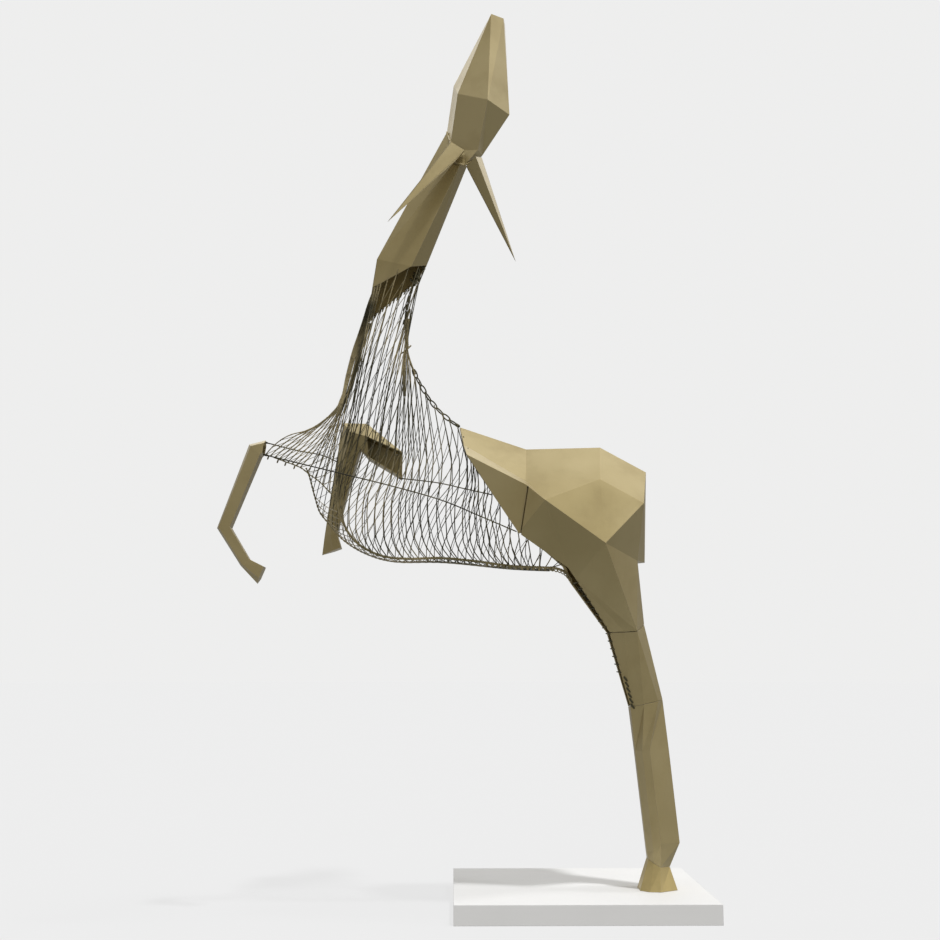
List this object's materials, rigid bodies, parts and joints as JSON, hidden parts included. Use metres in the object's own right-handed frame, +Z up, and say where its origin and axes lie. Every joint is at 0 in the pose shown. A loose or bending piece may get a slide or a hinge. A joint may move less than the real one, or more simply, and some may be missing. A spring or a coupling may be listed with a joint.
{
  "type": "metal deer sculpture",
  "caption": "Faceted plate-metal deer rearing on one hind leg, with an open knotted wire-net body, on a flat rectangular plinth.",
  "frame": {"origin": "centre of the plinth's flat underside", "axes": "+X from the forelegs towards the rump, +Y from the deer's left flank to its right flank, +Z up"},
  "size_m": [1.357, 0.63, 2.651],
  "materials": {
    "bronze_plate": "satin golden-brown bronze lacquer on folded sheet metal",
    "net_wire": "the same satin bronze on thin round wire, darker with age",
    "plinth_paint": "matt white paint"
  },
  "bodies": {
    "root": {"plinth": "plinth_paint", "hind_hoof": "bronze_plate", "hind_cannon": "bronze_plate", "hind_shank": "bronze_plate", "hindquarters": "bronze_plate", "neck": "bronze_plate", "head": "bronze_plate", "ear_left": "bronze_plate", "ear_right": "bronze_plate", "foreleg_left": "bronze_plate", "foreleg_right": "bronze_plate", "net_left": "net_wire", "net_right": "net_wire", "net_belly": "net_wire", "net_leg": "net_wire", "stay_wire_left": "net_wire", "stay_wire_right": "net_wire", "stay_wire_breast": "net_wire"}
  },
  "joints": []
}
